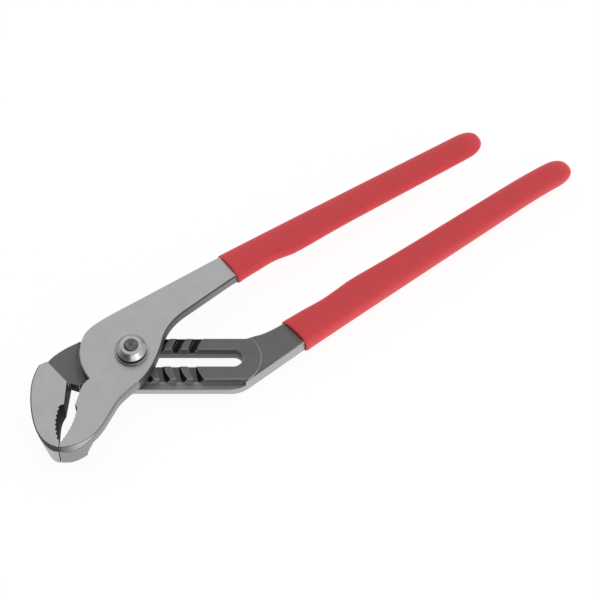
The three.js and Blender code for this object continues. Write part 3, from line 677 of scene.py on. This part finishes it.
def forging(node, name, finishes, worn_edge, wear, form, cut=None):
    """A lever's solid with merged corners, whole flat faces and rounded edges, as a piece.

    A cut at a height parts the sides into an upper and a lower band, and a form then moves the corners. Each
    edge sharper than the limit becomes a rounded strip, which gets the last finish; its width comes from a
    function of the edge's box, up to the worn edge. At each corner the shading follows the faces that aren't
    strips, so flat faces look flat up to their rims and a strip turns smoothly from one to the other; an edge
    left sharp stays so.
    """
    shape = bmesh.new()
    shape.from_mesh(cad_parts[node].data)
    bmesh.ops.remove_doubles(shape, verts=shape.verts, dist=WELD)
    bmesh.ops.dissolve_limit(shape, angle_limit=FLAT_ANGLE, verts=shape.verts, edges=shape.edges)
    if cut:
        bmesh.ops.bisect_plane(
            shape, geom=[*shape.verts, *shape.edges, *shape.faces], plane_co=(0, 0, cut), plane_no=(0, 0, 1))
    rough = bpy.data.meshes.new(name)
    shape.to_mesh(rough)
    shape.free()
    rough.shade_smooth()
    rough.vertices.foreach_set("co", form(rough).ravel())
    rough.update()
    _, bend, ends = edge_table(rough)
    box = points_of(rough)[ends]
    weight = np.where(bend > SHARP_ANGLE, wear(box.min(axis=1), box.max(axis=1)) / worn_edge, 0.0)
    rough.attributes.new("bevel_weight_edge", "FLOAT", "EDGE").data.foreach_set("value", weight)
    piece = placed(name, rough, *finishes)
    bevel = piece.modifiers.new("rounded edges", "BEVEL")
    bevel.width = worn_edge
    bevel.segments = 2
    bevel.limit_method = "WEIGHT"
    bevel.use_clamp_overlap = False
    bevel.material = len(finishes) - 1
    mesh = bpy.data.meshes.new_from_object(piece.evaluated_get(bpy.context.evaluated_depsgraph_get()))
    piece.modifiers.clear()
    piece.data = mesh

    strip = strips(mesh, len(finishes) - 1)
    sums = corner_sums(mesh, ~strip)
    bare = np.abs(sums).sum(axis=1, keepdims=True) == 0
    sums = np.where(bare, corner_sums(mesh, np.ones(len(mesh.polygons), bool)), sums)
    sums /= np.linalg.norm(sums, axis=1, keepdims=True)
    pair, bend, ends = edge_table(mesh)
    sharp = (bend > SHARP_ANGLE) & ~strip[pair].any(axis=1)
    sums[ends[sharp].ravel()] = 0
    mesh.attributes.new("sharp_edge", "BOOLEAN", "EDGE").data.foreach_set("value", sharp)
    mesh.normals_split_custom_set_from_vertices(sums.tolist())
    return piece


def lean_more(mesh, up):
    """Corners of a lever with the groove's or the tongue's leaning wall laid back further.

    Such a wall faces the jaws and up, or the handles and down. Each of its corners moves towards the jaws in
    proportion to its depth below the raised face.
    """
    sizes = settings("lever")
    normal, middle = face_table(mesh)
    lean = np.abs(normal[:, 2] * up - sizes.lean_slope) < sizes.lean_spread
    lean &= normal[:, 0] * up < -LEAN_TURN
    lean &= between(middle[:, 2], sizes.ledge, sizes.plateau) & (middle[:, 0] > sizes.jaw_root)
    lean &= between(middle[:, 1], -sizes.arm_low - sizes.margin, -sizes.slot_half)
    touched = np.zeros(len(mesh.vertices), bool)
    touched[numbers(mesh.loops, "vertex_index")[np.repeat(lean, numbers(mesh.polygons, "loop_total"))]] = True
    point = points_of(mesh)
    point[:, 0] -= sizes.lean * ramp(point[:, 2], sizes.plateau, sizes.ledge) * touched
    return point


class PLIERS_OT_lower_lever(bpy.types.Operator):
    """Dress the lower lever: forged faces, ground sides and jaw, grooves with painted shade, rubbed edges
    with painted highlights
    """

    bl_idname = "pliers.lower_lever"
    bl_label = "Lower lever"

    def execute(self, context):
        sizes = settings("lever")
        tint = settings("colours")

        def wear(low, high):
            """Rounding of an edge: wide on the raised face along the bar, round its end and at the foot of
            its near wall, none up the near ends of the grooves' walls, and small elsewhere.
            """
            size = high - low
            raised = low[:, 2] > sizes.plateau - 2 * sizes.margin
            raised &= high[:, 2] < sizes.plateau + sizes.margin
            raised &= (size[:, 0] > size[:, 1]) | (low[:, 0] > sizes.slot_end - sizes.arm_low)
            on_wall = np.abs(low[:, 1] + sizes.arm_low) < sizes.margin / 2
            on_wall &= np.abs(high[:, 1] + sizes.arm_low) < sizes.margin / 2
            foot = on_wall & (np.abs(high[:, 2] - sizes.ledge) < sizes.margin / 2)
            upright = on_wall & (size[:, 2] > sizes.margin) & (high[:, 0] < sizes.slot_end)
            worn = (raised | foot) & (low[:, 0] > sizes.jaw_root)
            return np.select([upright, worn], [0, sizes.worn_edge], sizes.edge)

        def form(mesh):
            """Corners with the jaw's sides leant towards its back, and the grooves' walls leant.

            The lean grows with the depth behind the front. The outer side tucks in with the way down the
            jaw and with the way outwards. The foot of the inner wall runs straight from the throat to the
            step before the teeth, and from there to the teeth's end with a power of the way, so the teeth's
            hollows fill up.
            """
            point = lean_more(mesh, 1)
            x, y = point[:, 0], point[:, 1]
            deep = ramp(point[:, 2], sizes.front, sizes.jaw_rear)
            rise = ramp(y, sizes.foot_turn, sizes.jaw_top)
            bite = ramp(y, sizes.foot_end, sizes.foot_turn)
            foot = sizes.foot_tip + (sizes.foot_step - sizes.foot_tip) * bite ** sizes.foot_power
            foot += (sizes.foot_top - sizes.foot_step) * rise
            inner = (x > sizes.jaw_back) & between(y, sizes.foot_end, sizes.jaw_top + sizes.margin)
            throat = inner * deep * np.maximum(0, foot - x)
            down = ramp(y, sizes.tuck_top, sizes.tuck_top - sizes.tuck_fall)
            out = ramp(x, sizes.tuck_start, sizes.tuck_start - sizes.tuck_spread)
            point += (deep * down * out)[:, None] * np.array([sizes.tuck_right, sizes.tuck_up, 0])
            point[:, 0] += throat
            return point

        piece = forging("lower_lever", "forged_lower_lever", (
            forged_steel("As-forged tool steel", tint.forged),
            ground_steel("Ground tool steel, jaw", tint.ground, sizes.jaw_belt),
            # Painted deep shade for the throat, the web, the grooves and the far arm's pits
            forged_steel("Forged steel with painted deep shade", tint.deep_shade, roughness=0.7),
            forged_steel("Forged slot wall", tint.slot, roughness=0.6),
            # Painted dark reflection on the left jaw's nose bevel
            forged_steel("Nose bevel with painted dark reflection", tint.nose, roughness=0.55),
            # Painted light on the near ledge
            forged_steel("Forged ledge with painted light", tint.ledge, roughness=0.6),
            # Worn edges with painted highlights; the strip at the near wall's foot is a painted highlight
            # only
            forged_steel("Rubbed forged edge with painted highlight", tint.edge, roughness=0.5),
        ), sizes.worn_edge, wear, form, sizes.slot_shade)
        forged, ground, deep_shade, wall, bevel, ledge, rubbed = range(7)
        normal, middle = face_table(piece.data)
        x, y, z = middle.T
        strip = strips(piece.data, rubbed)
        side = np.abs(normal[:, 2]) < STEEP
        level = normal[:, 2] > LEVEL
        chamfer = ~side & ~level & (normal[:, 2] > 0)
        jaw = x < sizes.jaw_root
        bar = between(x, sizes.web_end, sizes.slot_end) & (z > sizes.ledge - sizes.margin)
        slot = side & (np.abs(y) < sizes.slot_half + sizes.margin)
        slot &= between(x, sizes.slot_start - sizes.margin, sizes.slot_end + sizes.margin)
        # The throat, the web, the grooves and the far arm's pits take the near black finish: painted deep
        # shade
        throat = side & (normal[:, 0] > THROAT_TURN) & (y < sizes.jaw_top)
        throat &= between(x, sizes.jaw_back, sizes.web_end)
        web = side & (normal[:, 1] < -WEB_TURN) & between(x, sizes.jaw_root, sizes.web_end)
        arm = bar & between(y, -sizes.arm_low - sizes.margin, sizes.arm_high + sizes.margin)
        groove = ~level & arm & ~slot & (np.abs(normal[:, 0]) > GROOVE_TURN)
        pit = level & arm & (z < sizes.plateau - sizes.margin) & (y > 0)
        raised = level & (z > sizes.front - sizes.margin)
        raised_wall = side & (bar | (z > (sizes.ledge + sizes.face) / 2)) & (x > sizes.web_end)
        # The near ledge takes the lighter finish: painted light
        low_step = level & (np.abs(z - sizes.ledge) < sizes.margin) & (y < -sizes.arm_low)
        # Strips and chamfers off the jaw take the light finish: wear with painted highlights
        index = np.select(
            [strip & ~jaw, throat | web | groove | pit, slot & (z > sizes.slot_shade), slot | raised_wall,
             chamfer & jaw, raised | side | (strip & jaw), low_step, chamfer],
            [rubbed, deep_shade, wall, forged, bevel, ground, ledge, rubbed], forged)
        piece.data.polygons.foreach_set("material_index", index.astype(np.int32))
        dress(piece, "lower_lever", "lower")
        return {"FINISHED"}


class PLIERS_OT_upper_lever(bpy.types.Operator):
    """Dress the upper lever: ground front, trimmed handle side fading into painted shade, dark bevels of
    painted shade
    """

    bl_idname = "pliers.upper_lever"
    bl_label = "Upper lever"

    def execute(self, context):
        sizes = settings("lever")
        tint = settings("colours")

        def wear(low, high):
            """Rounding of an edge: none for the short edges at the jaw's heel, and the same elsewhere."""
            heel = np.array([sizes.heel_x, sizes.heel_y])
            short = (np.abs((low + high)[:, :2] / 2 - heel) < sizes.heel_room).all(axis=1)
            short &= (high - low)[:, 2] < sizes.heel_room
            short &= high[:, 2] < sizes.plateau + sizes.heel_room
            return np.where(short, 0, sizes.edge)

        def form(mesh):
            """Corners with the tongue's wall leant as the grooves' walls are, and with the teeth worn down.

            The teeth's corners come nearer to the parabola x(y) that fits them best.
            """
            point = lean_more(mesh, -1)
            teeth = between(point[:, 1], sizes.teeth_end, sizes.teeth_start)
            teeth &= point[:, 0] < sizes.teeth_back
            x, y = point[teeth, 0], point[teeth, 1]
            mean = np.polyval(np.polyfit(y, x, 2), y)
            point[teeth, 0] = mean + sizes.teeth_share * (x - mean)
            return point

        piece = forging("upper_lever", "ground_upper_lever", (
            ground_steel("Ground tool steel", tint.ground, sizes.belt),
            ground_steel("Ground steel side", tint.spine, sizes.belt),
            # The trimmed side darkens towards the cheek over the bar: painted shade
            forged_steel("Trimmed steel side fading into painted shade", tint.side, roughness=0.5, fade=(
                tint.shade, "Y", sizes.side_dark, sizes.side_light)),
            # Painted shade on the cheek's bevels, the boss's sides and the faces that look down
            forged_steel("Painted shade on the upper lever", tint.shade, roughness=0.55),
            # Painted deep shade on the throat's inner wall
            forged_steel("Steel wall with painted deep shade", tint.deep_shade, roughness=0.7),
            # The right jaw's nose bevel fades from a painted dark reflection at the tip to ground steel
            ground_steel("Ground nose bevel fading into painted dark reflection", tint.spine, sizes.belt, fade=(
                tint.nose, "X", sizes.nose_dark, sizes.nose_light)),
            ground_steel("Ground steel edge", tint.ground, sizes.belt),
        ), sizes.edge, wear, form)
        ground, spine, trimmed, dark, deep_shade, nose, rim = range(7)
        normal, middle = face_table(piece.data)
        x, y, z = middle.T
        strip = strips(piece.data, rim)
        side = np.abs(normal[:, 2]) <= STEEP
        chamfer = between(normal[:, 2], STEEP, LEVEL)
        near = normal[:, 1] < NEAR_TURN
        cheek = near & (y > sizes.shade_foot) & (x > 0)
        boss = (x < sizes.boss) & (y > sizes.shade_foot - sizes.margin)
        throat = (normal[:, 0] < -THROAT_TURN) & (y < sizes.jaw_top) & (x < sizes.throat)
        # The near strips along the jaw's front edge take the dark end of the trimmed finish: a painted shadow
        # line
        low_edge = strip & near & ~throat & (y <= sizes.shade_foot) & (z > sizes.plateau)
        shaded = (chamfer & cheek) | (side & boss) | (normal[:, 2] < -STEEP)
        index = np.select(
            [strip & ~cheek & ~low_edge, side & throat, shaded, (side & cheek) | low_edge,
             chamfer & (y < sizes.shade_foot), side & near],
            [rim, deep_shade, dark, trimmed, nose, spine], ground)
        piece.data.polygons.foreach_set("material_index", index.astype(np.int32))
        dress(piece, "upper_lever", "upper")
        return {"FINISHED"}


class PLIERS_OT_grips(bpy.types.Operator):
    """Dip both handles: a soft sleeve with a rounded lip on each"""

    bl_idname = "pliers.grips"
    bl_label = "Grips"

    def execute(self, context):
        vinyl = dipped_vinyl("Dipped vinyl", settings("colours").vinyl)
        for body, inside, facing in (("lower", 1, 1), ("upper", -1, -1)):
            rings = grip_rings(settings(body + "_grip"), inside, facing)
            piece = placed(body + "_grip_sleeve", skin(body + "_grip_sleeve", rings), vinyl)
            dress(piece, body + "_grip", body)
        return {"FINISHED"}


class PLIERS_OT_joint(bpy.types.Operator):
    """Turn the bolt, the nut and the washer of the slip joint"""

    bl_idname = "pliers.joint"
    bl_label = "Slip joint"

    def execute(self, context):
        sizes = settings("joint")
        tint = settings("colours")
        satin = turned_steel("Turned satin steel", tint.satin, roughness=0.32, groove_mm=3.1)
        dark = turned_steel("Oiled dark steel", tint.dark, roughness=0.42, groove_mm=2.5, dents=0.5)
        # Painted shade: the nut's round wall is drawn near black
        deep_shade = forged_steel("Nut wall with painted deep shade", tint.deep_shade, roughness=0.6)
        plain = ground_steel("Ground washer steel", tint.ground, turn=0.0)
        nut_low, nut_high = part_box("pivot_nut")
        washer_low, washer_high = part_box("pivot_washer")
        bolt_low, bolt_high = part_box("pivot_bolt")
        thread = sizes.thread / 2
        bore = thread + sizes.room
        nut = nut_high.x
        rim = nut_low.z + sizes.nut_wall
        mesh = turned_piece("turned_nut", [
            (bore, nut_low.z), (nut, nut_low.z), (nut, rim),
            (sizes.nut_top / 2, nut_high.z), (bore, nut_high.z)], (satin, deep_shade), "pivot_nut")
        normal, _ = face_table(mesh)
        # Steep faces of the nut take the near black finish, which is painted shade
        mesh.polygons.foreach_set("material_index", (np.abs(normal[:, 2]) < STEEP).astype(np.int32))

        washer = washer_high.x
        hole = sizes.washer_bore / 2
        turned_piece("ring_washer", [
            (hole, washer_low.z), (washer, washer_low.z),
            (washer, washer_high.z), (hole, washer_high.z)], (plain,), "pivot_washer")

        head = bolt_high.x
        shank = sizes.shank / 2
        shoulder = washer_high.z
        turned_piece("domed_bolt", [
            (sizes.head_middle, bolt_low.z), (head - sizes.head_chamfer, bolt_low.z),
            (head, bolt_low.z + sizes.head_chamfer), (head, sizes.head_height), (shank, sizes.head_height),
            (shank, shoulder), (thread, shoulder), (thread, bolt_high.z - sizes.thread_dome),
            (thread * sizes.dome_flat, bolt_high.z), (sizes.dimple, bolt_high.z),
            (sizes.dimple * sizes.dimple_floor, bolt_high.z - sizes.dimple_depth)],
            (dark,), "pivot_bolt", loop=False)
        return {"FINISHED"}


class PLIERS_OT_stage(bpy.types.Operator):
    """Set up the light table, the soft studio light and the camera"""

    bl_idname = "pliers.stage"
    bl_label = "Stage"

    def execute(self, context):
        sizes = settings("stage")
        scene = context.scene
        scene.view_settings.view_transform = "Standard"

        # Opal acrylic over lamps: pale, dull and glowing, so that shadows on it stay faint
        opal, tree, shader = finish("Backlit opal acrylic", Roughness=0.8, Specular_IOR_Level=0.0)
        pale = settings("colours").floor
        place = add(tree, "TexCoord").outputs["Object"]
        cloud = add(tree, "TexNoise", {
            "Vector": place, "Scale": per_metre(300), "Detail": 2.0}).outputs["Fac"]
        tone = add(tree, "Mix", {
            MIX_FACTOR: cloud, MIX_LOW: tinted(pale, sizes.floor_cloud * sizes.floor_share),
            MIX_HIGH: tinted(pale, sizes.floor_share)}, data_type="RGBA").outputs[MIX_COLOUR]
        fill(shader, {"Base Color": tone, "Emission Color": (1, 1, 1, 1), "Emission Strength": sizes.glow})
        half = sizes.floor_side / 2
        drop = -sizes.floor_drop
        mesh = bpy.data.meshes.new("floor")
        corners = [(-half, -half, drop), (half, -half, drop), (half, half, drop), (-half, half, drop)]
        mesh.from_pydata(corners, [], [(0, 1, 2, 3)])
        placed("floor", mesh, opal)

        # White room that is dim on the camera's side
        world = bpy.data.worlds.new("White room")
        world.use_nodes = True
        tree = world.node_tree
        level = math.cos(sizes.dim_rise)
        dim = (level * math.cos(sizes.dim_turn), level * math.sin(sizes.dim_turn), math.sin(sizes.dim_rise))
        way = add(tree, "TexCoord").outputs["Generated"]
        toward = add(tree, "VectorMath", {0: way, 1: dim}, operation="DOT_PRODUCT").outputs["Value"]
        strength = add(tree, "MapRange", {
            "Value": toward, "From Min": sizes.dim_from, "From Max": sizes.dim_to,
            "To Min": sizes.sky, "To Max": sizes.dim_sky}, interpolation_type="SMOOTHSTEP").outputs["Result"]
        fill(tree.nodes["Background"], {"Color": (1, 1, 1, 1), "Strength": strength})
        scene.world = world

        lamp = bpy.data.lights.new("Low strip light", "AREA")
        lamp.shape = "RECTANGLE"
        lamp.size = sizes.strip_long
        lamp.size_y = sizes.strip_high
        lamp.energy = sizes.strip_watts
        strip = bpy.data.objects.new("Low strip light", lamp)
        level = sizes.strip_distance * math.cos(sizes.strip_rise)
        strip.location = (
            level * math.cos(sizes.strip_turn), level * math.sin(sizes.strip_turn),
            sizes.strip_distance * math.sin(sizes.strip_rise))
        strip.rotation_euler = (math.pi / 2 - sizes.strip_rise, 0, sizes.strip_turn + math.pi / 2)
        scene.collection.objects.link(strip)

        lens = bpy.data.cameras.new("Photo camera")
        lens.sensor_fit = "HORIZONTAL"
        lens.angle = sizes.field
        camera = bpy.data.objects.new("Photo camera", lens)
        back = sizes.distance * math.cos(sizes.elevation)
        above = sizes.distance * math.sin(sizes.elevation)
        camera.location = (sizes.target_x, sizes.target_y - back, sizes.target_z + above)
        camera.rotation_euler = (math.pi / 2 - sizes.elevation, 0, 0)
        scene.collection.objects.link(camera)
        scene.camera = camera
        return {"FINISHED"}


class PLIERS_PT_panel(bpy.types.Panel):
    """Buttons for the pieces and the stage"""

    bl_idname = "PLIERS_PT_panel"
    bl_label = "Water pump pliers"
    bl_space_type = "VIEW_3D"
    bl_region_type = "UI"
    bl_category = "Pliers"

    def draw(self, context):
        for operator in OPERATORS:
            self.layout.operator(operator.bl_idname)


GROUPS = {
    "lower_grip": LowerGripSizes, "upper_grip": UpperGripSizes, "joint": JointSizes,
    "lever": LeverSizes, "colours": FinishColours, "stage": StageSizes,
}
OPERATORS = (
    PLIERS_OT_lower_lever, PLIERS_OT_upper_lever, PLIERS_OT_grips, PLIERS_OT_joint, PLIERS_OT_stage,
)
CLASSES = (*GROUPS.values(), *OPERATORS, PLIERS_PT_panel)


def register():
    """Add the classes, and the property groups to the scene."""
    for item in CLASSES:
        bpy.utils.register_class(item)
    for name, group in GROUPS.items():
        setattr(bpy.types.Scene, "pliers_" + name, bpy.props.PointerProperty(type=group))


def unregister():
    """Take the property groups off the scene, and remove the classes."""
    for name in GROUPS:
        delattr(bpy.types.Scene, "pliers_" + name)
    for item in reversed(CLASSES):
        bpy.utils.unregister_class(item)


def main():
    """Run every operator in order."""
    register()
    for operator in OPERATORS:
        group, name = operator.bl_idname.split(".")
        getattr(getattr(bpy.ops, group), name)()


if __name__ == "__main__":
    main()
